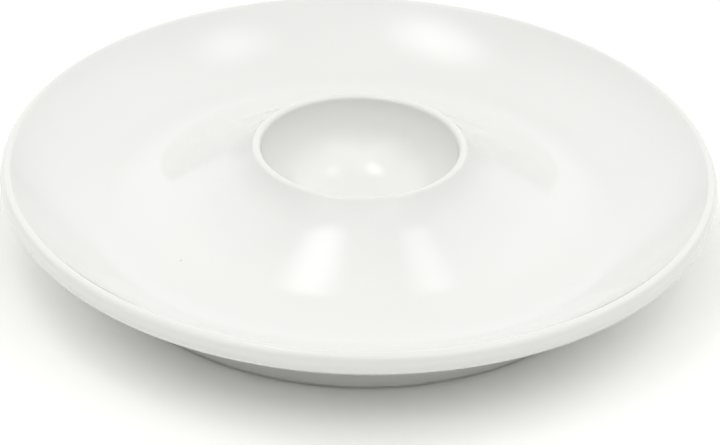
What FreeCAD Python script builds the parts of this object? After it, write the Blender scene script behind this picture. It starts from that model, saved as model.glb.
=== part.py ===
import FreeCAD, Part
import math
import os

import Sketcher

# Egg plate: one fired piece of glazed porcelain, turned about Z. A wide dish with a rounded
# rim carries a raised egg cup in the middle of its trough, and stands on a plain foot ring.
# Frame: millimetres, +Z up, origin at the centre of the circle on which the foot ring rests.
#
# The whole wall is one closed half-section, drawn as tangent arcs in one sketch and turned
# through a full revolution. The members of the plate are then parted from that blank by
# plain cylindrical and flat zones, so neighbours share a face and nothing overlaps.

DRIVING_DIMENSIONS = (
    ("plate_diameter", 140.0, "greatest diameter, across the rim"),
    ("rim_height", 20.0, "crown of the rim above the table"),
    ("rim_widest_height", 17.8, "height at which the rim is widest"),
    ("rim_crown_radius", 1.0, "round of the rim's inner crown"),
    ("rim_face_radius", 2.7, "round of the rim's outer face"),
    ("rim_throat_radius", 2.0, "hollow under the rim, where it runs into the wall"),
    ("wall_radius", 52.0, "gentle sweep of the dish's wall"),
    ("trough_radius", 48.0, "radius of the lowest circle of the trough"),
    ("trough_floor", 8.6, "upper surface of the trough at its lowest, above the table"),
    ("trough_outer_round", 14.0, "sweep from the trough's floor up the wall"),
    ("trough_inner_round", 24.0, "sweep from the trough's floor up the pedestal"),
    ("pedestal_slope", 27.0, "slope at the foot of the pedestal's flank, degrees from level"),
    ("pedestal_sweep", 130.0, "gentle hollow of the pedestal's flank"),
    ("neck_radius", 24.0, "sweep from the flank up to the lip"),
    ("lip_radius", 20.35, "radius of the lip's crown circle"),
    ("lip_height", 22.3, "crown of the lip above the table"),
    ("lip_round", 1.0, "round of the lip"),
    ("cup_floor", 6.2, "lowest point inside the egg cup, above the table"),
    ("cup_bottom_radius", 26.0, "sphere of the egg cup's bottom"),
    ("cup_side_radius", 15.0, "round of the egg cup's side, from bottom to lip"),
    ("wall_thickness", 3.5, "wall of the dish, the pedestal and the egg cup"),
    ("cavity_round", 1.0, "round at the top of the hollow between cup and pedestal"),
    ("foot_radius", 51.4, "outer radius of the foot ring at the table"),
    ("foot_width", 4.2, "width of the foot ring at the table"),
    ("foot_edge", 0.5, "round of the foot ring's two lower edges"),
    ("foot_draft", 6.0, "slope of the foot ring's sides, degrees from upright"),
    ("cup_seam_radius", 22.6, "cylinder that parts egg cup from pedestal"),
    ("lip_seam_height", 19.8, "plane that parts the lip from cup and pedestal"),
    ("foot_seam_height", 5.0, "plane that parts the foot ring from pedestal and well"),
    ("rim_seam_radius", 66.0, "cylinder that parts the rim from the well"),
    ("zone_margin", 5.0, "how far a parting zone reaches past the plate"),
)

SIZE = {name: value for name, value, meaning in DRIVING_DIMENSIONS}
SHEET = "Dimensions"
START, END, CENTRE = 1, 2, 3
SKETCH_ORIGIN = (-1, 1)
SKETCH_VERTICAL_AXIS = -2
SKETCH_HORIZONTAL_AXIS = -1

doc = FreeCAD.newDocument("egg_plate")


def add_sheet():
    """Writes the driving dimensions, each in a named cell."""
    sheet = doc.addObject("Spreadsheet::Sheet", SHEET)
    for row, (name, value, meaning) in enumerate(DRIVING_DIMENSIONS, start=1):
        sheet.set(f"A{row}", name)
        sheet.set(f"B{row}", str(value))
        sheet.set(f"C{row}", meaning)
        sheet.setAlias(f"B{row}", name)
    doc.recompute()
    return sheet


def cell(expression):
    """Prefixes each dimension's name in an expression with the sheet's name."""
    words = expression.split()
    return " ".join(f"{SHEET}.{word}" if word in SIZE else word for word in words)


def meet(centre_a, reach_a, centre_b, reach_b, side):
    """Point at two given distances from two centres; side is +1 left of a to b, -1 right."""
    across = (centre_b[0] - centre_a[0], centre_b[1] - centre_a[1])
    span = math.hypot(*across)
    along = (reach_a ** 2 - reach_b ** 2 + span ** 2) / (2 * span)
    off = side * math.sqrt(reach_a ** 2 - along ** 2)
    unit = (across[0] / span, across[1] / span)
    return (
        centre_a[0] + along * unit[0] - off * unit[1],
        centre_a[1] + along * unit[1] + off * unit[0],
    )


def toward(centre, through, reach):
    """Point at a distance from a centre, on the ray through another point."""
    span = math.hypot(through[0] - centre[0], through[1] - centre[1])
    scale = reach / span
    return (
        centre[0] + scale * (through[0] - centre[0]),
        centre[1] + scale * (through[1] - centre[1]),
    )


def meet_line(point, along, centre, reach):
    """First point on a line, from a point on it along a unit direction, at reach from a centre."""
    back = (point[0] - centre[0], point[1] - centre[1])
    half = back[0] * along[0] + back[1] * along[1]
    step = -half - math.sqrt(half ** 2 - back[0] ** 2 - back[1] ** 2 + reach ** 2)
    return (point[0] + step * along[0], point[1] + step * along[1])


def shift(point, direction, reach):
    """Point moved along a unit direction."""
    return (point[0] + reach * direction[0], point[1] + reach * direction[1])


class Outline:
    """A closed run of arcs and lines in a sketch, each edge joined to the one before."""

    def __init__(self, sketch):
        self.sketch = sketch
        self.first = {}
        self.last = {}
        self.index = {}

    def line(self, name, start, end):
        vectors = [FreeCAD.Vector(x, y, 0) for x, y in (start, end)]
        self.index[name] = self.sketch.addGeometry(Part.LineSegment(*vectors))
        self.first[name], self.last[name] = START, END

    def arc(self, name, centre, start, end, leftward):
        """An arc about a centre; leftward when it turns anticlockwise from start to end."""
        radius = math.dist(centre, start)
        circle = Part.Circle(FreeCAD.Vector(*centre, 0), FreeCAD.Vector(0, 0, 1), radius)
        begin, finish = (start, end) if leftward else (end, start)
        angles = [math.atan2(p[1] - centre[1], p[0] - centre[0]) for p in (begin, finish)]
        if angles[1] < angles[0]:
            angles[1] += 2 * math.pi
        self.index[name] = self.sketch.addGeometry(Part.ArcOfCircle(circle, *angles))
        self.first[name], self.last[name] = (START, END) if leftward else (END, START)

    def join(self, name, following, kind):
        self.sketch.addConstraint(Sketcher.Constraint(
            kind, self.index[name], self.last[name], self.index[following], self.first[following]
        ))

    def concentric(self, name, other):
        self.sketch.addConstraint(Sketcher.Constraint(
            "Coincident", self.index[name], CENTRE, self.index[other], CENTRE
        ))

    def above(self, name, place, other, other_place):
        """Keeps two points at the same radius, one over the other."""
        self.sketch.addConstraint(Sketcher.Constraint(
            "Vertical", self.index[name], place, self.index[other], other_place
        ))

    def on_axis(self, name, place, axis):
        self.sketch.addConstraint(Sketcher.Constraint(
            "PointOnObject", self.index[name], place, axis
        ))

    def bind(self, label, constraint, expression):
        """Adds a named dimension and ties it to the sheet."""
        number = self.sketch.addConstraint(constraint)
        self.sketch.renameConstraint(number, label)
        self.sketch.setExpression(f"Constraints.{label}", cell(expression))

    def radius(self, name, expression):
        value = self.sketch.Geometry[self.index[name]].Radius
        constraint = Sketcher.Constraint("Radius", self.index[name], value)
        self.bind(f"{name}_radius", constraint, expression)

    def slope(self, name, expression):
        line = self.sketch.Geometry[self.index[name]]
        direction = line.EndPoint - line.StartPoint
        angle = math.atan2(direction.y, direction.x)
        self.bind(f"{name}_slope", Sketcher.Constraint("Angle", self.index[name], angle), expression)

    def place(self, name, place, across=None, up=None):
        """Fixes a point's radius and height, each where an expression is given."""
        point = self.sketch.getPoint(self.index[name], place)
        for kind, word, value, expression in (
            ("DistanceX", "across", point.x, across), ("DistanceY", "up", point.y, up)
        ):
            if expression:
                constraint = Sketcher.Constraint(
                    kind, *SKETCH_ORIGIN, self.index[name], place, value
                )
                self.bind(f"{name}_{word}_{place}", constraint, expression)


def section_points():
    """Centres of the section's arcs, from the sizes."""
    s = SIZE
    wall = s["wall_thickness"]
    slope = math.radians(s["pedestal_slope"])
    outward = (math.sin(slope), math.cos(slope))
    face = (s["plate_diameter"] / 2 - s["rim_face_radius"], s["rim_widest_height"])
    crown_height = s["rim_height"] - s["rim_crown_radius"]
    gap = s["rim_face_radius"] - s["rim_crown_radius"]
    crown = (face[0] + math.sqrt(gap ** 2 - (crown_height - face[1]) ** 2), crown_height)
    trough_outer = (s["trough_radius"], s["trough_floor"] + s["trough_outer_round"])
    trough_inner = (s["trough_radius"], s["trough_floor"] + s["trough_inner_round"])
    sweep = meet(
        trough_outer, s["wall_radius"] - s["trough_outer_round"],
        crown, s["wall_radius"] + s["rim_crown_radius"], 1,
    )
    throat = meet(
        sweep, s["wall_radius"] + wall + s["rim_throat_radius"],
        face, s["rim_face_radius"] + s["rim_throat_radius"], -1,
    )
    flank = shift(trough_inner, outward, s["pedestal_sweep"] - s["trough_inner_round"])
    lip = (s["lip_radius"], s["lip_height"] - s["lip_round"])
    neck = meet(
        flank, s["pedestal_sweep"] - s["neck_radius"],
        lip, s["neck_radius"] + s["lip_round"], 1,
    )
    bottom = (0.0, s["cup_floor"] + s["cup_bottom_radius"])
    side = meet(
        bottom, s["cup_bottom_radius"] - s["cup_side_radius"],
        lip, s["cup_side_radius"] + s["lip_round"], -1,
    )
    cavity = meet(
        flank, s["pedestal_sweep"] + wall + s["cavity_round"],
        side, s["cup_side_radius"] + wall + s["cavity_round"], 1,
    )
    return {
        "face": face, "crown": crown, "sweep": sweep, "throat": throat,
        "trough_outer": trough_outer, "trough_inner": trough_inner,
        "flank": flank, "neck": neck, "lip": lip,
        "bottom": bottom, "side": side, "cavity": cavity,
    }


def draw_upper_surface(outline, c):
    """Egg cup, lip, pedestal, trough, wall and rim, from the axis outward."""
    s = SIZE
    bottom_to_side = toward(c["bottom"], c["side"], s["cup_bottom_radius"])
    side_to_lip = toward(c["lip"], c["side"], s["lip_round"])
    lip_to_neck = toward(c["lip"], c["neck"], s["lip_round"])
    neck_to_flank = toward(c["neck"], c["flank"], -s["neck_radius"])
    flank_to_trough = toward(c["flank"], c["trough_inner"], s["pedestal_sweep"])
    lowest = (s["trough_radius"], s["trough_floor"])
    trough_to_wall = toward(c["sweep"], c["trough_outer"], s["wall_radius"])
    wall_to_crown = toward(c["crown"], c["sweep"], s["rim_crown_radius"])
    crown_to_face = toward(c["face"], c["crown"], s["rim_face_radius"])
    face_to_throat = toward(c["face"], c["throat"], s["rim_face_radius"])
    throat_to_wall = toward(c["throat"], c["sweep"], s["rim_throat_radius"])
    outline.arc("cup_bottom", c["bottom"], (0.0, s["cup_floor"]), bottom_to_side, True)
    outline.arc("cup_side", c["side"], bottom_to_side, side_to_lip, True)
    outline.arc("lip", c["lip"], side_to_lip, lip_to_neck, False)
    outline.arc("neck", c["neck"], lip_to_neck, neck_to_flank, True)
    outline.arc("flank", c["flank"], neck_to_flank, flank_to_trough, True)
    outline.arc("trough_inner", c["trough_inner"], flank_to_trough, lowest, True)
    outline.arc("trough_outer", c["trough_outer"], lowest, trough_to_wall, True)
    outline.arc("wall", c["sweep"], trough_to_wall, wall_to_crown, True)
    outline.arc("crown", c["crown"], wall_to_crown, crown_to_face, False)
    outline.arc("face", c["face"], crown_to_face, face_to_throat, False)
    outline.arc("throat", c["throat"], face_to_throat, throat_to_wall, True)
    return throat_to_wall


def draw_underside(outline, c, throat_to_wall):
    """Underside of the wall, foot ring and the hollow under the pedestal, back to the axis."""
    s = SIZE
    wall = s["wall_thickness"]
    edge = s["foot_edge"]
    tilt = math.radians(s["foot_draft"])
    outer_edge = (s["foot_radius"] - edge, edge)
    inner_edge = (s["foot_radius"] - s["foot_width"] + edge, edge)
    outer_foot = shift(outer_edge, (math.cos(tilt), -math.sin(tilt)), edge)
    inner_foot = shift(inner_edge, (-math.cos(tilt), -math.sin(tilt)), edge)
    outer_root = meet_line(
        outer_foot, (math.sin(tilt), math.cos(tilt)),
        c["trough_outer"], s["trough_outer_round"] + wall,
    )
    inner_root = meet_line(
        inner_foot, (-math.sin(tilt), math.cos(tilt)),
        c["trough_inner"], s["trough_inner_round"] + wall,
    )
    wall_to_trough = toward(c["sweep"], c["trough_outer"], s["wall_radius"] + wall)
    trough_to_flank = toward(c["flank"], c["trough_inner"], s["pedestal_sweep"] + wall)
    flank_to_cavity = toward(c["cavity"], c["flank"], s["cavity_round"])
    cavity_to_side = toward(c["cavity"], c["side"], s["cavity_round"])
    side_to_bottom = toward(c["bottom"], c["side"], s["cup_bottom_radius"] + wall)
    cup_underside = (0.0, s["cup_floor"] - wall)
    outline.arc("wall_under", c["sweep"], throat_to_wall, wall_to_trough, False)
    outline.arc("outer_under", c["trough_outer"], wall_to_trough, outer_root, False)
    outline.line("foot_outside", outer_root, outer_foot)
    outline.arc("foot_outer_edge", outer_edge, outer_foot, (outer_edge[0], 0.0), False)
    outline.line("foot_face", (outer_edge[0], 0.0), (inner_edge[0], 0.0))
    outline.arc("foot_inner_edge", inner_edge, (inner_edge[0], 0.0), inner_foot, False)
    outline.line("foot_inside", inner_foot, inner_root)
    outline.arc("inner_under", c["trough_inner"], inner_root, trough_to_flank, False)
    outline.arc("flank_under", c["flank"], trough_to_flank, flank_to_cavity, False)
    outline.arc("cavity", c["cavity"], flank_to_cavity, cavity_to_side, True)
    outline.arc("cup_outside", c["side"], cavity_to_side, side_to_bottom, False)
    outline.arc("cup_underside", c["bottom"], side_to_bottom, cup_underside, False)
    outline.line("axis", cup_underside, (0.0, s["cup_floor"]))


def constrain(outline):
    """Ties the section together: smooth joins, radii and positions from the sheet."""
    smooth_runs = (
        ("cup_bottom", "cup_side", "lip", "neck", "flank", "trough_inner"),
        ("trough_outer", "wall", "crown", "face", "throat", "wall_under", "outer_under"),
        ("foot_outside", "foot_outer_edge", "foot_face", "foot_inner_edge", "foot_inside"),
        ("inner_under", "flank_under", "cavity", "cup_outside", "cup_underside"),
    )
    for run in smooth_runs:
        for name, following in zip(run, run[1:]):
            outline.join(name, following, "Tangent")
    for name, following in (
        ("trough_inner", "trough_outer"), ("outer_under", "foot_outside"),
        ("foot_inside", "inner_under"), ("cup_underside", "axis"), ("axis", "cup_bottom"),
    ):
        outline.join(name, following, "Coincident")
    for name, other in (
        ("wall_under", "wall"), ("outer_under", "trough_outer"),
        ("inner_under", "trough_inner"), ("flank_under", "flank"),
        ("cup_outside", "cup_side"), ("cup_underside", "cup_bottom"),
    ):
        outline.concentric(name, other)
    outline.above("trough_inner", CENTRE, "trough_inner", outline.last["trough_inner"])
    outline.above("trough_outer", CENTRE, "trough_inner", CENTRE)
    outline.on_axis("cup_bottom", CENTRE, SKETCH_VERTICAL_AXIS)
    outline.on_axis("cup_bottom", outline.first["cup_bottom"], SKETCH_VERTICAL_AXIS)
    outline.on_axis("cup_underside", outline.last["cup_underside"], SKETCH_VERTICAL_AXIS)
    outline.on_axis("foot_face", START, SKETCH_HORIZONTAL_AXIS)
    outline.on_axis("foot_face", END, SKETCH_HORIZONTAL_AXIS)
    for name, expression in (
        ("cup_bottom", "cup_bottom_radius"), ("cup_side", "cup_side_radius"),
        ("lip", "lip_round"), ("neck", "neck_radius"), ("flank", "pedestal_sweep"),
        ("trough_inner", "trough_inner_round"), ("trough_outer", "trough_outer_round"),
        ("wall", "wall_radius"), ("crown", "rim_crown_radius"), ("face", "rim_face_radius"),
        ("throat", "rim_throat_radius"), ("cavity", "cavity_round"),
        ("outer_under", "trough_outer_round + wall_thickness"),
        ("inner_under", "trough_inner_round + wall_thickness"),
        ("foot_outer_edge", "foot_edge"), ("foot_inner_edge", "foot_edge"),
    ):
        outline.radius(name, expression)
    outline.place("cup_bottom", outline.first["cup_bottom"], up="cup_floor")
    outline.place("cup_underside", outline.last["cup_underside"], up="cup_floor - wall_thickness")
    outline.place("lip", CENTRE, across="lip_radius", up="lip_height - lip_round")
    outline.place(
        "trough_inner", outline.last["trough_inner"], across="trough_radius", up="trough_floor"
    )
    outline.place(
        "flank", outline.last["flank"],
        across="trough_radius - trough_inner_round * sin( pedestal_slope * 1 deg )",
    )
    outline.place("crown", CENTRE, up="rim_height - rim_crown_radius")
    outline.place(
        "face", CENTRE, across="plate_diameter / 2 - rim_face_radius", up="rim_widest_height"
    )
    outline.place("foot_outer_edge", CENTRE, across="foot_radius - foot_edge")
    outline.place("foot_inner_edge", CENTRE, across="foot_radius - foot_width + foot_edge")
    outline.slope("foot_outside", "270 deg - foot_draft * 1 deg")
    outline.slope("foot_inside", "90 deg + foot_draft * 1 deg")


def add_blank():
    """The whole plate as one turned body."""
    body = doc.addObject("PartDesign::Body", "plate_blank")
    planes = {plane.Role: plane for plane in body.Origin.OriginFeatures}
    sketch = body.newObject("Sketcher::SketchObject", "half_section")
    sketch.AttachmentSupport = [(planes["XZ_Plane"], "")]
    sketch.MapMode = "FlatFace"
    outline = Outline(sketch)
    centres = section_points()
    throat_to_wall = draw_upper_surface(outline, centres)
    draw_underside(outline, centres, throat_to_wall)
    constrain(outline)
    doc.recompute()
    if sketch.solve() != 0 or not sketch.FullyConstrained:
        raise SystemExit("the half section is not fully constrained")
    turned = body.newObject("PartDesign::Revolution", "turned_wall")
    turned.Profile = sketch
    turned.ReferenceAxis = (sketch, ["V_Axis"])
    turned.Angle = 360.0
    body.Tip = turned
    doc.recompute()
    return body


def add_cylinder(name, radius, bottom, top):
    """An upright cylinder about the axis, its sizes given as expressions."""
    cylinder = doc.addObject("Part::Cylinder", name)
    cylinder.setExpression("Radius", cell(radius))
    cylinder.setExpression("Height", cell(f"{top} - ( {bottom} )"))
    cylinder.setExpression("Placement.Base.z", cell(bottom))
    return cylinder


def add_member(name, blank, outer, inner, bottom, top):
    """The part of the blank between two radii and two heights."""
    zone = add_cylinder(f"{name}_zone", outer, bottom, top)
    if inner:
        core = add_cylinder(f"{name}_core", inner, bottom, top)
        ring = doc.addObject("Part::Cut", f"{name}_ring")
        ring.Base = zone
        ring.Tool = core
        zone = ring
    member = doc.addObject("Part::Common", name)
    member.Base = blank
    member.Tool = zone
    member.Label = name
    return member


def add_members(blank):
    """Egg cup, lip, pedestal, well, rim and foot ring, from the inside out."""
    below = "0 - zone_margin"
    above = "lip_height + zone_margin"
    beyond = "plate_diameter / 2 + zone_margin"
    return [
        add_member("egg_cup", blank, "cup_seam_radius", None, below, "lip_seam_height"),
        add_member("cup_lip", blank, "trough_radius", None, "lip_seam_height", above),
        add_member(
            "pedestal", blank, "trough_radius", "cup_seam_radius",
            "foot_seam_height", "lip_seam_height",
        ),
        add_member(
            "well", blank, "rim_seam_radius", "trough_radius", "foot_seam_height", above
        ),
        add_member("rim", blank, beyond, "rim_seam_radius", below, above),
        add_member(
            "foot_ring", blank, "rim_seam_radius", "cup_seam_radius", below, "foot_seam_height"
        ),
    ]


def check(blank, members):
    """Stops on any failed object, and on any member that is not one valid solid."""
    for item in doc.Objects:
        if "Invalid" in item.State or "Error" in item.State:
            raise SystemExit(f"{item.Name} failed: {item.State}")
    for member in members:
        shape = member.Shape
        if shape.isNull() or not shape.isValid() or len(shape.Solids) != 1:
            raise SystemExit(f"{member.Label} is not one valid solid")
        print(f"{member.Label}: {shape.Volume:.1f} mm3, box {shape.BoundBox}")
    parted = sum(member.Shape.Volume for member in members)
    print(f"blank {blank.Shape.Volume:.1f} mm3, members together {parted:.1f} mm3")
    if abs(parted - blank.Shape.Volume) > 1e-4 * blank.Shape.Volume:
        raise SystemExit("the members do not add up to the blank")


def export(members):
    """One STEP file for each member, named after it."""
    os.makedirs("parts", exist_ok=True)
    for member in members:
        member.Shape.exportStep(f"parts/{member.Label}.step")


add_sheet()
plate = add_blank()
plate_members = add_members(plate)
doc.recompute()
check(plate, plate_members)
export(plate_members)
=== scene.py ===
import math

import bpy
import numpy as np
from mathutils import Matrix, Vector


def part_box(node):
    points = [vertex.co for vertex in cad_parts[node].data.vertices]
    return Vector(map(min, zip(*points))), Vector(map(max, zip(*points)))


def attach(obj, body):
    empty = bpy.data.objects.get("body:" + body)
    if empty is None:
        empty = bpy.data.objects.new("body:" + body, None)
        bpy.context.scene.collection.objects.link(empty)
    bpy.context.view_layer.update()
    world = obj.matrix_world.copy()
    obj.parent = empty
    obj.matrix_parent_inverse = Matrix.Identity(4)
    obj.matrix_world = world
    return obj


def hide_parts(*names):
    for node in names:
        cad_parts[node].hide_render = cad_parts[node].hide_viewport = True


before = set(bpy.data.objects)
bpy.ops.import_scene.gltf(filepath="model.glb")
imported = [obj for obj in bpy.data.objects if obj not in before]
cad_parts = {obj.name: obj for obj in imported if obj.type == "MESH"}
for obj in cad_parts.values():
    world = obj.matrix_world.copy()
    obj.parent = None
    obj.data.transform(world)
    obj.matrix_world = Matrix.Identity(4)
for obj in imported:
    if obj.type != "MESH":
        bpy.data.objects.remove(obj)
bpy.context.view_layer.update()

# Egg plate in glazed porcelain, in metres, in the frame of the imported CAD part: +Z is the
# plate's axis and the foot ring stands on Z = 0. The wall's half-section is drawn again in
# fine steps and turned about Z, and each turned piece stands for one CAD node. The foot is
# two pieces: its glazed sides, and the bare edge that the glaze stops short of.

MM = 0.001


def top_of(node):
    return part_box(node)[1].z / MM


def reach_of(node):
    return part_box(node)[1].x / MM


# ---- sizes in millimetres; those that a CAD node's box gives are read from it ----

WALL = 3.5
RIM_REACH, RIM_HEIGHT, RIM_WIDEST = reach_of("rim"), top_of("rim"), 17.8
RIM_CROWN, RIM_FACE, RIM_THROAT = 1.0, 2.7, 2.0
SWEEP = 52.0
TROUGH_REACH, TROUGH_FLOOR = reach_of("pedestal"), 8.6
TROUGH_OUTER, TROUGH_INNER = 14.0, 24.0
FLANK_SLOPE, FLANK_SWEEP = math.radians(27.0), 130.0
NECK = 24.0
LIP_REACH, LIP_HEIGHT, LIP_ROUND = 20.35, top_of("cup_lip"), 1.0
CUP_FLOOR, CUP_BOTTOM, CUP_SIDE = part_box("egg_cup")[0].z / MM + WALL, 26.0, 15.0
CAVITY = 1.0
FOOT_REACH, FOOT_WIDTH, FOOT_EDGE, FOOT_DRAFT = 51.4, 4.2, 0.5, math.radians(6.0)
FOOT_FILLET = 1.1
GLAZE_END, GLAZE_COAT = 0.75, 0.06
CUP_SEAM, LIP_SEAM = reach_of("egg_cup"), top_of("egg_cup")
RIM_SEAM, FOOT_SEAM = reach_of("well"), top_of("foot_ring")

# How finely the section is drawn and turned, and what counts as the same point or as nothing
TURNS = 360
ARC_STEP, RUN_STEP = math.radians(2.0), 0.9
SAME, NOTHING = 1e-6, 1e-9

# How the fired plate strays from the drawn one: its oval and the dip of its rim, each with a
# phase, and the wander of the glaze's edge, as (waves round the foot, size, phase)
OVAL, OVAL_PHASE = 0.14, 0.9
DIP, DIP_PHASE = 0.10, 2.1
GLAZE_WANDER = ((2, 0.05, 1.0), (5, 0.03, 0.4), (11, 0.02, 2.0), (23, 0.01, 5.1))
WANDER_REACH = 0.25
PROBE = 0.02

# Over how far the glaze feels the skin's bend, and how strongly it gathers
POOL_REACH, POOL_GAIN = 1.2, 1.5

# ---- the half-section: each point is radius + height * 1j, with the outward normal ----


def unit(z):
    return z / abs(z)


def toward(centre, through, reach):
    return centre + unit(through - centre) * reach


def meet(a, reach_a, b, reach_b, side):
    """Point at two given distances from a and b; side is +1 left of a to b, -1 right."""
    span = abs(b - a)
    along = (reach_a ** 2 - reach_b ** 2 + span ** 2) / (2 * span)
    return a + unit(b - a) * complex(along, side * math.sqrt(reach_a ** 2 - along ** 2))


def meet_line(point, along, centre, reach):
    """First point on the line through point, along a unit direction, at reach from centre."""
    back = point - centre
    half = (back * along.conjugate()).real
    return point + along * (-half - math.sqrt(half ** 2 - abs(back) ** 2 + reach ** 2))


class Skin:
    """The section's outline, drawn from the axis round to the axis again."""

    def __init__(self):
        self.points = []
        self.normals = []

    def extend(self, points, normals):
        skip = 1 if self.points and abs(self.points[-1] - points[0]) < SAME else 0
        self.points.extend(points[skip:])
        self.normals.extend(normals[skip:])

    def arc(self, centre, start, end, hollow):
        """An arc; hollow when the air is on its centre's side."""
        radius, first = abs(start - centre), np.angle(start - centre)
        turn = math.remainder(np.angle(end - centre) - first, 2 * math.pi)
        steps = math.ceil(abs(turn) * max(1 / ARC_STEP, radius / RUN_STEP)) + 1
        outward = np.exp(1j * (first + turn * np.linspace(0, 1, steps + 1)))
        self.extend(centre + radius * outward, -outward if hollow else outward)

    def line(self, start, end, normal):
        steps = math.ceil(abs(end - start) / RUN_STEP)
        points = start + (end - start) * np.linspace(0, 1, steps + 1)
        self.extend(points, np.full(steps + 1, normal))

    def mark(self, part, level, after):
        """Index of the first point past after where the radius or height is level."""
        for i in range(after + 1, len(self.points)):
            here, before = (getattr(self.points[k], part) - level for k in (i, i - 1))
            if abs(here) < SAME:
                return i
            if here * before < 0 and abs(before) > SAME:
                t = before / (before - here)
                point = self.points[i - 1] * (1 - t) + self.points[i] * t
                normal = unit(self.normals[i - 1] * (1 - t) + self.normals[i] * t)
                self.points.insert(i, point)
                self.normals.insert(i, normal)
                return i
        raise ValueError(f"the outline never reaches {part} {level}")


def foot_side(sign, root_centre, root_reach):
    """Points of one side of the foot: sign is +1 for the outer side and -1 for the inner."""
    normal = complex(sign * math.cos(FOOT_DRAFT), -math.sin(FOOT_DRAFT))
    downward = complex(-sign * math.sin(FOOT_DRAFT), -math.cos(FOOT_DRAFT))
    half = FOOT_WIDTH / 2 - FOOT_EDGE
    foot = complex(FOOT_REACH - FOOT_WIDTH / 2 + sign * half, FOOT_EDGE) + normal * FOOT_EDGE
    fillet = meet_line(foot + normal * FOOT_FILLET, -downward,
                       root_centre, root_reach + FOOT_FILLET)
    end = foot - downward * ((GLAZE_END - foot.imag) / -downward.imag)
    bead = end - normal * GLAZE_COAT
    bare = bead + downward * GLAZE_COAT
    edge = FOOT_EDGE - GLAZE_COAT
    inset = half - GLAZE_COAT * math.tan(FOOT_DRAFT)
    centre = complex(FOOT_REACH - FOOT_WIDTH / 2 + sign * inset, edge)
    return {
        "normal": normal, "fillet": fillet, "root": toward(root_centre, fillet, root_reach),
        "side": fillet - normal * FOOT_FILLET, "end": end, "bead": bead, "bare": bare,
        "edge": centre, "edge_side": centre + normal * edge, "floor": complex(centre.real, 0),
    }


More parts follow.
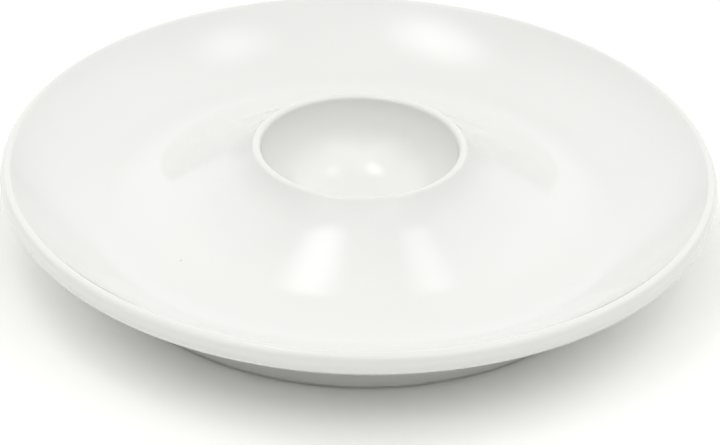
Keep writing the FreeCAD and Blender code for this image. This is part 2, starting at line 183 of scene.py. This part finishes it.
def draw_skin():
    """The whole outline, and the index on it of each place where two pieces meet."""
    face = complex(RIM_REACH - RIM_FACE, RIM_WIDEST)
    rise = RIM_HEIGHT - RIM_CROWN - RIM_WIDEST
    crown = face + complex(math.sqrt((RIM_FACE - RIM_CROWN) ** 2 - rise ** 2), rise)
    outer = complex(TROUGH_REACH, TROUGH_FLOOR + TROUGH_OUTER)
    inner = complex(TROUGH_REACH, TROUGH_FLOOR + TROUGH_INNER)
    sweep = meet(outer, SWEEP - TROUGH_OUTER, crown, SWEEP + RIM_CROWN, 1)
    throat = meet(sweep, SWEEP + WALL + RIM_THROAT, face, RIM_FACE + RIM_THROAT, -1)
    outward = complex(math.sin(FLANK_SLOPE), math.cos(FLANK_SLOPE))
    flank = inner + outward * (FLANK_SWEEP - TROUGH_INNER)
    lip = complex(LIP_REACH, LIP_HEIGHT - LIP_ROUND)
    neck = meet(flank, FLANK_SWEEP - NECK, lip, NECK + LIP_ROUND, 1)
    bottom = complex(0, CUP_FLOOR + CUP_BOTTOM)
    side = meet(bottom, CUP_BOTTOM - CUP_SIDE, lip, CUP_SIDE + LIP_ROUND, -1)
    hollow = meet(flank, FLANK_SWEEP + WALL + CAVITY, side, CUP_SIDE + WALL + CAVITY, 1)
    outside = foot_side(1, outer, TROUGH_OUTER + WALL)
    inside = foot_side(-1, inner, TROUGH_INNER + WALL)

    skin = Skin()
    lowest = complex(TROUGH_REACH, TROUGH_FLOOR)
    skin.arc(bottom, complex(0, CUP_FLOOR), toward(bottom, side, CUP_BOTTOM), True)
    skin.arc(side, skin.points[-1], toward(lip, side, LIP_ROUND), True)
    skin.arc(lip, skin.points[-1], toward(lip, neck, LIP_ROUND), False)
    skin.arc(neck, skin.points[-1], toward(neck, flank, -NECK), True)
    skin.arc(flank, skin.points[-1], toward(flank, inner, FLANK_SWEEP), True)
    skin.arc(inner, skin.points[-1], lowest, True)
    skin.arc(outer, lowest, toward(sweep, outer, SWEEP), True)
    skin.arc(sweep, skin.points[-1], toward(crown, sweep, RIM_CROWN), True)
    skin.arc(crown, skin.points[-1], toward(face, crown, RIM_FACE), False)
    skin.arc(face, skin.points[-1], toward(face, throat, RIM_FACE), False)
    skin.arc(throat, skin.points[-1], toward(throat, sweep, RIM_THROAT), True)
    skin.arc(sweep, skin.points[-1], toward(sweep, outer, SWEEP + WALL), False)
    skin.arc(outer, skin.points[-1], outside["root"], False)
    skin.arc(outside["fillet"], outside["root"], outside["side"], True)
    skin.line(outside["side"], outside["end"], outside["normal"])
    skin.arc(outside["bead"], outside["end"], outside["bare"], False)
    skin.line(outside["bare"], outside["edge_side"], outside["normal"])
    skin.arc(outside["edge"], outside["edge_side"], outside["floor"], False)
    skin.line(outside["floor"], inside["floor"], -1j)
    skin.arc(inside["edge"], inside["floor"], inside["edge_side"], False)
    skin.line(inside["edge_side"], inside["bare"], inside["normal"])
    skin.arc(inside["bead"], inside["bare"], inside["end"], False)
    skin.line(inside["end"], inside["side"], inside["normal"])
    skin.arc(inside["fillet"], inside["side"], inside["root"], True)
    skin.arc(inner, inside["root"], toward(flank, inner, FLANK_SWEEP + WALL), False)
    skin.arc(flank, skin.points[-1], toward(hollow, flank, CAVITY), False)
    skin.arc(hollow, skin.points[-1], toward(hollow, side, CAVITY), True)
    skin.arc(side, skin.points[-1], toward(bottom, side, CUP_BOTTOM + WALL), False)
    skin.arc(bottom, skin.points[-1], complex(0, CUP_FLOOR - WALL), False)

    # The bead dips below its own end, so the bare piece starts a coat's depth further down.
    bare_seam = outside["bare"].imag - GLAZE_COAT
    marks, after = {"start": 0}, 0
    for name, part, level in (
        ("lip_in", "imag", LIP_SEAM), ("lip_out", "imag", LIP_SEAM),
        ("lowest", "real", TROUGH_REACH), ("rim_in", "real", RIM_SEAM),
        ("rim_out", "real", RIM_SEAM), ("foot_out", "imag", FOOT_SEAM),
        ("bare_out", "imag", bare_seam), ("bare_in", "imag", bare_seam),
        ("foot_in", "imag", FOOT_SEAM), ("cup_out", "real", CUP_SEAM),
    ):
        after = marks[name] = skin.mark(part, level, after)
    marks["end"] = len(skin.points) - 1
    return skin, marks


SKIN, MARKS = draw_skin()
CUP_CORNER = complex(CUP_SEAM, LIP_SEAM)
FOOT_CORNER = complex(TROUGH_REACH, FOOT_SEAM)

# Each piece with its CAD node, its slot and its outline. An outline goes round by stretches of
# skin, (from mark, to mark), and corners inside the wall, single points.
PIECES = (
    ("glazed_egg_cup", "egg_cup", "glaze",
     (("start", "lip_in"), CUP_CORNER, ("cup_out", "end"))),
    ("glazed_cup_lip", "cup_lip", "glaze", (("lip_in", "lip_out"),)),
    ("glazed_pedestal", "pedestal", "glaze",
     (("lip_out", "lowest"), FOOT_CORNER, ("foot_in", "cup_out"), CUP_CORNER)),
    ("glazed_well", "well", "glaze",
     (("lowest", "rim_in"), ("rim_out", "foot_out"), FOOT_CORNER)),
    ("glazed_rim", "rim", "glaze", (("rim_in", "rim_out"),)),
    ("glazed_foot", "foot_ring", "glaze", (("foot_out", "bare_out"), ("bare_in", "foot_in"))),
    ("bare_foot_edge", "foot_ring", "bisque", (("bare_out", "bare_in"),)),
)


def pooling():
    """How far the glaze gathers at each skin point: above 0 in hollows, below on edges."""
    points, normals = np.array(SKIN.points), np.array(SKIN.normals)
    steps = np.maximum(np.abs(np.diff(points)), NOTHING)
    place = np.concatenate(([0.0], np.cumsum(steps)))
    bend = np.angle(normals[1:] / normals[:-1]) / steps
    middle = (place[1:] + place[:-1]) / 2
    weight = steps * np.exp(-((place[:, None] - middle) / POOL_REACH) ** 2)
    return np.tanh(POOL_GAIN * (weight @ bend) / weight.sum(1))


POOL = pooling()


def settle(points):
    """Where points of the drawn plate are on the fired one, slightly oval and sagged.

    The plate only shrinks from the drawn size. The edge of the glaze wanders up and down.
    """
    x, y, z = points.T
    radius, angle = np.hypot(x, y), np.arctan2(y, x)
    spread = np.clip((radius - FOOT_REACH) / (RIM_REACH - FOOT_REACH), 0, 1) ** 2
    shrink = OVAL / 2 * (1 - np.cos(2 * angle + OVAL_PHASE)) * (radius / RIM_REACH) ** 2
    sag = DIP / 2 * (1 - np.cos(3 * angle + DIP_PHASE)) * spread
    wander = sum(size * np.sin(count * angle + phase) for count, size, phase in GLAZE_WANDER)
    lift = wander * np.exp(-((z - GLAZE_END) / WANDER_REACH) ** 2)
    scale = 1 - shrink / RIM_REACH
    return np.stack((x * scale, y * scale, z - sag + lift), 1)


def turn(points, normals):
    """Rings of settled points about Z, and the settled normals, each (section, turn, xyz)."""
    angles = np.linspace(0, 2 * math.pi, TURNS, endpoint=False)
    radial = np.stack((np.cos(angles), np.sin(angles), 0 * angles), 1)
    across = np.stack((-np.sin(angles), np.cos(angles), 0 * angles), 1)
    points, normals = np.array(points)[:, None, None], np.array(normals)[:, None, None]
    up = np.array((0.0, 0.0, 1.0))
    drawn = (points.real * radial + points.imag * up).reshape(-1, 3)
    facing = (normals.real * radial + normals.imag * up).reshape(-1, 3)
    along = np.broadcast_to(across, (len(points), TURNS, 3)).reshape(-1, 3)
    other = np.cross(facing, along)
    tangents = [settle(drawn + PROBE * t) - settle(drawn - PROBE * t) for t in (along, other)]
    settled = np.cross(*tangents)
    settled /= np.linalg.norm(settled, axis=1, keepdims=True)
    shape = (len(points), TURNS, 3)
    return settle(drawn).reshape(shape) * MM, settled.reshape(shape)


def outline_of(stretches):
    """A piece's outline: points, pooling, and each edge's normal at its two ends."""
    points, pool, edges = [], [], []
    for stretch in stretches:
        if isinstance(stretch, complex):
            points.append(stretch)
            pool.append(0.0)
            edges.append(None)
            continue
        first, last = (MARKS[name] for name in stretch)
        points.extend(SKIN.points[first:last + 1])
        pool.extend(POOL[first:last + 1])
        edges.extend((SKIN.normals[k], SKIN.normals[k + 1]) for k in range(first, last))
        edges.append(None)
    for k, normals in enumerate(edges):
        if normals is None:
            run = points[(k + 1) % len(points)] - points[k]
            flat = unit(run) * 1j if abs(run) > NOTHING else 1j
            edges[k] = (flat, flat)
    return points, pool, edges


def add_piece(name, node, stretches, material):
    """A closed turned solid with exact normals that stands for a CAD node."""
    points, pool, edges = outline_of(stretches)
    rings = turn(points, [1.0] * len(points))[0]
    start_normals = turn(points, [a for a, _ in edges])[1]
    end_normals = turn(np.roll(points, -1), [b for _, b in edges])[1]
    vertices, index, pools = [], [], []
    for point, ring, depth in zip(points, rings, pool):
        pole = abs(point.real) < NOTHING
        ring = ring[:1] if pole else ring
        index.append([len(vertices)] * TURNS if pole else
                     list(range(len(vertices), len(vertices) + TURNS)))
        vertices.extend(map(tuple, ring))
        pools.extend([depth] * len(ring))
    faces, normals = [], []
    for k in range(len(points)):
        here, there = index[k], index[(k + 1) % len(points)]
        if here[0] == here[1] and there[0] == there[1]:
            continue
        for j in range(TURNS):
            n = (j + 1) % TURNS
            corners = [(here[n], start_normals[k][n]), (here[j], start_normals[k][j]),
                       (there[j], end_normals[k][j]), (there[n], end_normals[k][n])]
            if here[0] == here[1]:
                del corners[0]
            elif there[0] == there[1]:
                del corners[2]
            faces.append([vertex for vertex, _ in corners])
            normals.extend(normal for _, normal in corners)
    mesh = bpy.data.meshes.new(name)
    mesh.from_pydata(vertices, [], faces)
    mesh.polygons.foreach_set("use_smooth", [True] * len(faces))
    depth = mesh.attributes.new("glaze_pool", "FLOAT", "POINT")
    depth.data.foreach_set("value", pools)
    mesh.materials.append(material)
    mesh.update()
    mesh.normals_split_custom_set([tuple(normal) for normal in normals])
    piece = bpy.data.objects.new(name, mesh)
    bpy.context.scene.collection.objects.link(piece)
    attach(piece, "root")
    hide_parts(node)


# ---- materials ----


class Tree:
    """Short ways to add and join nodes."""

    def __init__(self, tree):
        self.tree = tree

    def add(self, kind, inputs=(), **settings):
        node = self.tree.nodes.new(kind)
        for name, value in settings.items():
            setattr(node, name, value)
        for key, value in dict(inputs).items():
            if isinstance(value, bpy.types.NodeSocket):
                self.tree.links.new(value, node.inputs[key])
            else:
                node.inputs[key].default_value = value
        return node

    def math(self, operation, a, b=0.0, c=0.0, clamp=False):
        return self.add("ShaderNodeMath", {0: a, 1: b, 2: c},
                        operation=operation, use_clamp=clamp).outputs[0]

    def noise(self, at, size, detail=2.0, roughness=0.5):
        """Noise whose features are about size metres across, from 0 to 1."""
        return self.add("ShaderNodeTexNoise", {
            "Vector": at, "Scale": 1 / size, "Detail": detail, "Roughness": roughness,
        }).outputs[0]

    def spread(self, value, low, high, to_low=0.0, to_high=1.0):
        """The value, carried smoothly from low..high to to_low..to_high."""
        return self.add("ShaderNodeMapRange", {
            "Value": value, "From Min": low, "From Max": high,
            "To Min": to_low, "To Max": to_high,
        }, interpolation_type="SMOOTHSTEP").outputs[0]

    def mix(self, factor, a, b):
        node = self.tree.nodes.new("ShaderNodeMix")
        node.data_type = "RGBA"
        for socket, value in (("Factor_Float", factor), ("A_Color", a), ("B_Color", b)):
            target = next(s for s in node.inputs if s.identifier == socket)
            if isinstance(value, bpy.types.NodeSocket):
                self.tree.links.new(value, target)
            else:
                target.default_value = value
        return next(s for s in node.outputs if s.identifier == "Result_Color")

    def dress(self, shader, colour, roughness, height):
        """Give the shader its colour, its roughness and a relief of a height in metres."""
        bump = self.add("ShaderNodeBump", {"Height": height, "Strength": 1.0, "Distance": 1.0})
        for name, socket in (("Base Color", colour), ("Roughness", roughness),
                             ("Normal", bump.outputs[0])):
            self.tree.links.new(socket, shader.inputs[name])


def new_material(name):
    material = bpy.data.materials.new(name)
    material.use_nodes = True
    tree = Tree(material.node_tree)
    return material, tree, material.node_tree.nodes["Principled BSDF"]


GLAZE = (0.772, 0.773, 0.754, 1)
GLAZE_DEEP = (0.748, 0.753, 0.730, 1)
GLAZE_THIN = (0.778, 0.776, 0.752, 1)
GLAZE_SPECK = (0.20, 0.17, 0.13, 1)
# From which pooling to which the glaze turns deep or thin, and how its colour drifts
POOL_DEEP, POOL_THIN = (0.15, 0.9), (-0.15, -0.9)
DRIFT, DRIFT_SPAN, DRIFT_DEPTH = 0.030, (0.4, 0.8), 0.16
# Roughness follows clouds, between their levels and its own two values
CLOUD, CLOUD_SPAN, GLAZE_ROUGHNESS, GLAZE_IOR = 0.018, (0.3, 0.75), (0.025, 0.06), 1.5
# A speck lies in a few of the cells: which ones, its edge as a share of a cell, its strength
SPECK_CELL, SPECK_CHOICE, SPECK_EDGE, SPECK_STRENGTH = 0.011, (0.93, 0.94), (0.030, 0.016), 0.35
# Relief, as size across and height in metres
WAVE, PEEL, PIT = (0.020, 7e-6), (0.0015, 2.5e-7), (0.0003, -1e-5)

BISQUE_DARK, BISQUE_PALE = (0.70, 0.68, 0.63, 1), (0.80, 0.785, 0.74, 1)
# Painted contact shade with wear: the colour and strength of the patchy darkening at the bottom
# of the bare edge
BISQUE_WORN_AND_SHADE, WORN_AND_SHADE_STRENGTH = (0.42, 0.40, 0.37, 1), 0.7
GRAIN, GRAIN_HEIGHT = 0.0004, 3e-5
PATCH, PATCH_SPAN, BISQUE_ROUGHNESS = 0.006, (0.3, 0.7), (0.92, 0.74)
# How high above the floor the painted contact shade and wear reach, and between which patch
# levels they show
WORN_AND_SHADE_HEIGHT, WORN_AND_SHADE_SPAN = 0.0003, (0.42, 0.68)


def glaze_material():
    """White transparent glaze over porcelain: thin on edges, deeper in hollows."""
    material, tree, shader = new_material("white_glaze")
    at = tree.add("ShaderNodeTexCoord").outputs["Object"]
    pool = tree.add("ShaderNodeAttribute", attribute_name="glaze_pool").outputs["Fac"]
    drift = tree.spread(tree.noise(at, DRIFT, 3.0), *DRIFT_SPAN, 0, DRIFT_DEPTH)
    deep = tree.math("ADD", tree.spread(pool, *POOL_DEEP), drift)
    colour = tree.mix(tree.math("MINIMUM", deep, 1.0), GLAZE, GLAZE_DEEP)
    colour = tree.mix(tree.spread(pool, *POOL_THIN), colour, GLAZE_THIN)
    cells = tree.add("ShaderNodeTexVoronoi", {"Vector": at, "Scale": 1 / SPECK_CELL})
    chosen = tree.spread(tree.add("ShaderNodeSeparateColor", {
        "Color": cells.outputs["Color"]}).outputs[0], *SPECK_CHOICE)
    dot = tree.spread(cells.outputs["Distance"], *SPECK_EDGE)
    speck = tree.math("MULTIPLY", chosen, dot)
    colour = tree.mix(tree.math("MULTIPLY", speck, SPECK_STRENGTH), colour, GLAZE_SPECK)
    cloud = tree.noise(at, CLOUD, 4.0, 0.6)
    roughness = tree.spread(cloud, *CLOUD_SPAN, *GLAZE_ROUGHNESS)
    shader.inputs["IOR"].default_value = GLAZE_IOR
    wave = tree.math("MULTIPLY", tree.noise(at, WAVE[0], 1.0), WAVE[1])
    peel = tree.math("MULTIPLY", tree.noise(at, PEEL[0], 1.0), PEEL[1])
    pit = tree.math("MULTIPLY", tree.math("MULTIPLY", tree.noise(at, PIT[0]), speck), PIT[1])
    height = tree.math("ADD", tree.math("ADD", wave, peel), pit)
    tree.dress(shader, colour, roughness, height)
    return material


def bisque_material():
    """Fired porcelain without glaze: matt, fine grained, and darker in patches at its bottom,
    partly as wear from standing and partly as painted shade at the floor contact.
    """
    material, tree, shader = new_material("bare_porcelain")
    at = tree.add("ShaderNodeTexCoord").outputs["Object"]
    grain = tree.noise(at, GRAIN, 3.0, 0.7)
    patch = tree.noise(at, PATCH, 4.0, 0.6)
    # Painted contact shade with wear: darker in patches in the lowest 0.3 mm of the foot, where
    # it meets the floor
    low = tree.spread(tree.add("ShaderNodeSeparateXYZ", {0: at}).outputs[2], WORN_AND_SHADE_HEIGHT, 0.0)
    worn_and_shade = tree.math("MULTIPLY", low, tree.spread(patch, *WORN_AND_SHADE_SPAN))
    colour = tree.mix(grain, BISQUE_DARK, BISQUE_PALE)
    colour = tree.mix(tree.math("MULTIPLY", worn_and_shade, WORN_AND_SHADE_STRENGTH), colour, BISQUE_WORN_AND_SHADE)
    roughness = tree.spread(patch, *PATCH_SPAN, *BISQUE_ROUGHNESS)
    tree.dress(shader, colour, roughness, tree.math("MULTIPLY", grain, GRAIN_HEIGHT))
    return material


# ---- stage, light and camera ----

FLOOR_COLOUR, FLOOR_ROUGHNESS, FLOOR_HALF = (0.950, 0.950, 0.930, 1), 0.9, 3.0
# Broad soft lights all round: azimuth (0 from the camera's side) and elevation in degrees,
# sharpness, and strength
LOBES = (
    (140, 15, 10, 0.96), (180, 15, 10, 0.82), (-140, 15, 10, 1.05),
    (115, 45, 10, 1.25), (-115, 45, 10, 1.17), (60, 45, 10, 1.05),
    (-60, 45, 10, 0.89), (0, 60, 14, 1.2), (0, 85, 24, 0.61),
    (35, 50, 20, 1.2), (-35, 50, 20, 1.2), (-90, 75, 18, 0.2),
)
# A thin bright line in the sky behind the plate, as on the top edge of a panel: its slopes away
# from the camera and to the side, its softness and strength, and where it fades in
EDGE_RISE, EDGE_TILT, EDGE_SOFT, EDGE_LIGHT = 0.90, -0.097, 0.014, 0.35
EDGE_BEHIND = (0.0, 0.2)
# Soft boxes overhead: place, size, the share of it that is evenly bright, watts
LAMPS = (
    ("key_box", (-0.250, -0.070, 1.080), (0.70, 0.44), 0.1, 3.10),
    ("fill_box", (0.420, 0.050, 1.040), (0.54, 0.40), 0.1, 1.30),
)
# Distance from the foot's centre in metres, angle below the horizon, roll, lens and sensor in
# millimetres, shift, and the nearest distance that shows
CAMERA = {"far": 0.5, "fall": math.radians(31.95), "roll": math.radians(1.64),
          "lens": 125.0, "sensor": 36.0, "shift": (0.00375, 0.025), "near": 0.01}


def add_floor():
    mesh = bpy.data.meshes.new("floor")
    corners = [(x * FLOOR_HALF, y * FLOOR_HALF, 0)
               for x, y in ((-1, -1), (1, -1), (1, 1), (-1, 1))]
    mesh.from_pydata(corners, [], [(0, 1, 2, 3)])
    material, _, shader = new_material("pale_floor")
    shader.inputs["Base Color"].default_value = FLOOR_COLOUR
    shader.inputs["Roughness"].default_value = FLOOR_ROUGHNESS
    shader.inputs["Specular IOR Level"].default_value = 0.0
    mesh.materials.append(material)
    floor = bpy.data.objects.new("floor", mesh)
    bpy.context.scene.collection.objects.link(floor)


def add_world():
    """A pale studio of broad soft lights, with a faint bright line behind the plate."""
    world = bpy.data.worlds.new("studio")
    world.use_nodes = True
    bpy.context.scene.world = world
    tree = Tree(world.node_tree)
    sky = tree.add("ShaderNodeTexCoord").outputs["Generated"]
    sky = tree.add("ShaderNodeVectorMath", {0: sky}, operation="NORMALIZE").outputs[0]
    x, y, z = tree.add("ShaderNodeSeparateXYZ", {0: sky}).outputs
    level = 0.0
    for azimuth, elevation, sharpness, strength in LOBES:
        a, e = math.radians(azimuth), math.radians(elevation)
        middle = (math.sin(a) * math.cos(e), -math.cos(a) * math.cos(e), math.sin(e))
        cosine = tree.add("ShaderNodeVectorMath", {0: sky, 1: middle},
                          operation="DOT_PRODUCT").outputs["Value"]
        lobe = tree.math("EXPONENT", tree.math("MULTIPLY_ADD", cosine, sharpness, -sharpness))
        level = tree.math("MULTIPLY_ADD", lobe, strength, level)
    above = tree.math("SUBTRACT", z, tree.math("MULTIPLY", y, EDGE_RISE))
    above = tree.math("SUBTRACT", above, tree.math("MULTIPLY", x, EDGE_TILT))
    line = tree.spread(tree.math("ABSOLUTE", above), EDGE_SOFT, 0.0, 0.0, EDGE_LIGHT)
    behind = tree.spread(y, *EDGE_BEHIND)
    level = tree.math("MULTIPLY_ADD", line, behind, level)
    background = world.node_tree.nodes["Background"]
    background.inputs["Color"].default_value = (1, 1, 1, 1)
    world.node_tree.links.new(level, background.inputs["Strength"])


def add_lamp(name, place, size, core, watts):
    """A soft box that faces the plate and fades from its middle to its edge."""
    lamp = bpy.data.lights.new(name, "AREA")
    lamp.shape = "RECTANGLE"
    lamp.size, lamp.size_y = size
    lamp.energy = watts
    lamp.use_nodes = True
    tree = Tree(lamp.node_tree)
    spot = tree.add("ShaderNodeNewGeometry").outputs["Parametric"]
    spot = tree.add("ShaderNodeVectorMath", {0: spot, 1: (0.5, 0.5, 0.0)},
                    operation="DISTANCE").outputs["Value"]
    fade = tree.spread(spot, 0.5, core / 2)
    lamp.node_tree.links.new(fade, lamp.node_tree.nodes["Emission"].inputs["Strength"])
    box = bpy.data.objects.new(name, lamp)
    box.location = place
    box.rotation_mode = "QUATERNION"
    box.rotation_quaternion = Vector(place).to_track_quat("Z", "Y")
    box.visible_camera = False
    bpy.context.scene.collection.objects.link(box)


def add_camera():
    lens = bpy.data.cameras.new("camera")
    lens.sensor_width = CAMERA["sensor"]
    lens.lens = CAMERA["lens"]
    lens.shift_x, lens.shift_y = CAMERA["shift"]
    lens.clip_start = CAMERA["near"]
    fall = CAMERA["fall"]
    forward = Vector((0, math.cos(fall), -math.sin(fall)))
    upward = Vector((0, math.sin(fall), math.cos(fall)))
    turned = Matrix((Vector((1, 0, 0)), upward, -forward)).transposed()
    turned = turned @ Matrix.Rotation(CAMERA["roll"], 3, "Z")
    camera = bpy.data.objects.new("camera", lens)
    camera.matrix_world = Matrix.Translation(-forward * CAMERA["far"]) @ turned.to_4x4()
    bpy.context.scene.collection.objects.link(camera)
    bpy.context.scene.camera = camera


add_camera()
finishes = {"glaze": glaze_material(), "bisque": bisque_material()}
for piece_name, cad_node, cad_slot, piece_stretches in PIECES:
    add_piece(piece_name, cad_node, piece_stretches, finishes[cad_slot])
add_floor()
add_world()
for lamp_facts in LAMPS:
    add_lamp(*lamp_facts)
bpy.context.scene.view_settings.view_transform = "Standard"
bpy.context.scene.view_settings.exposure = 0.0
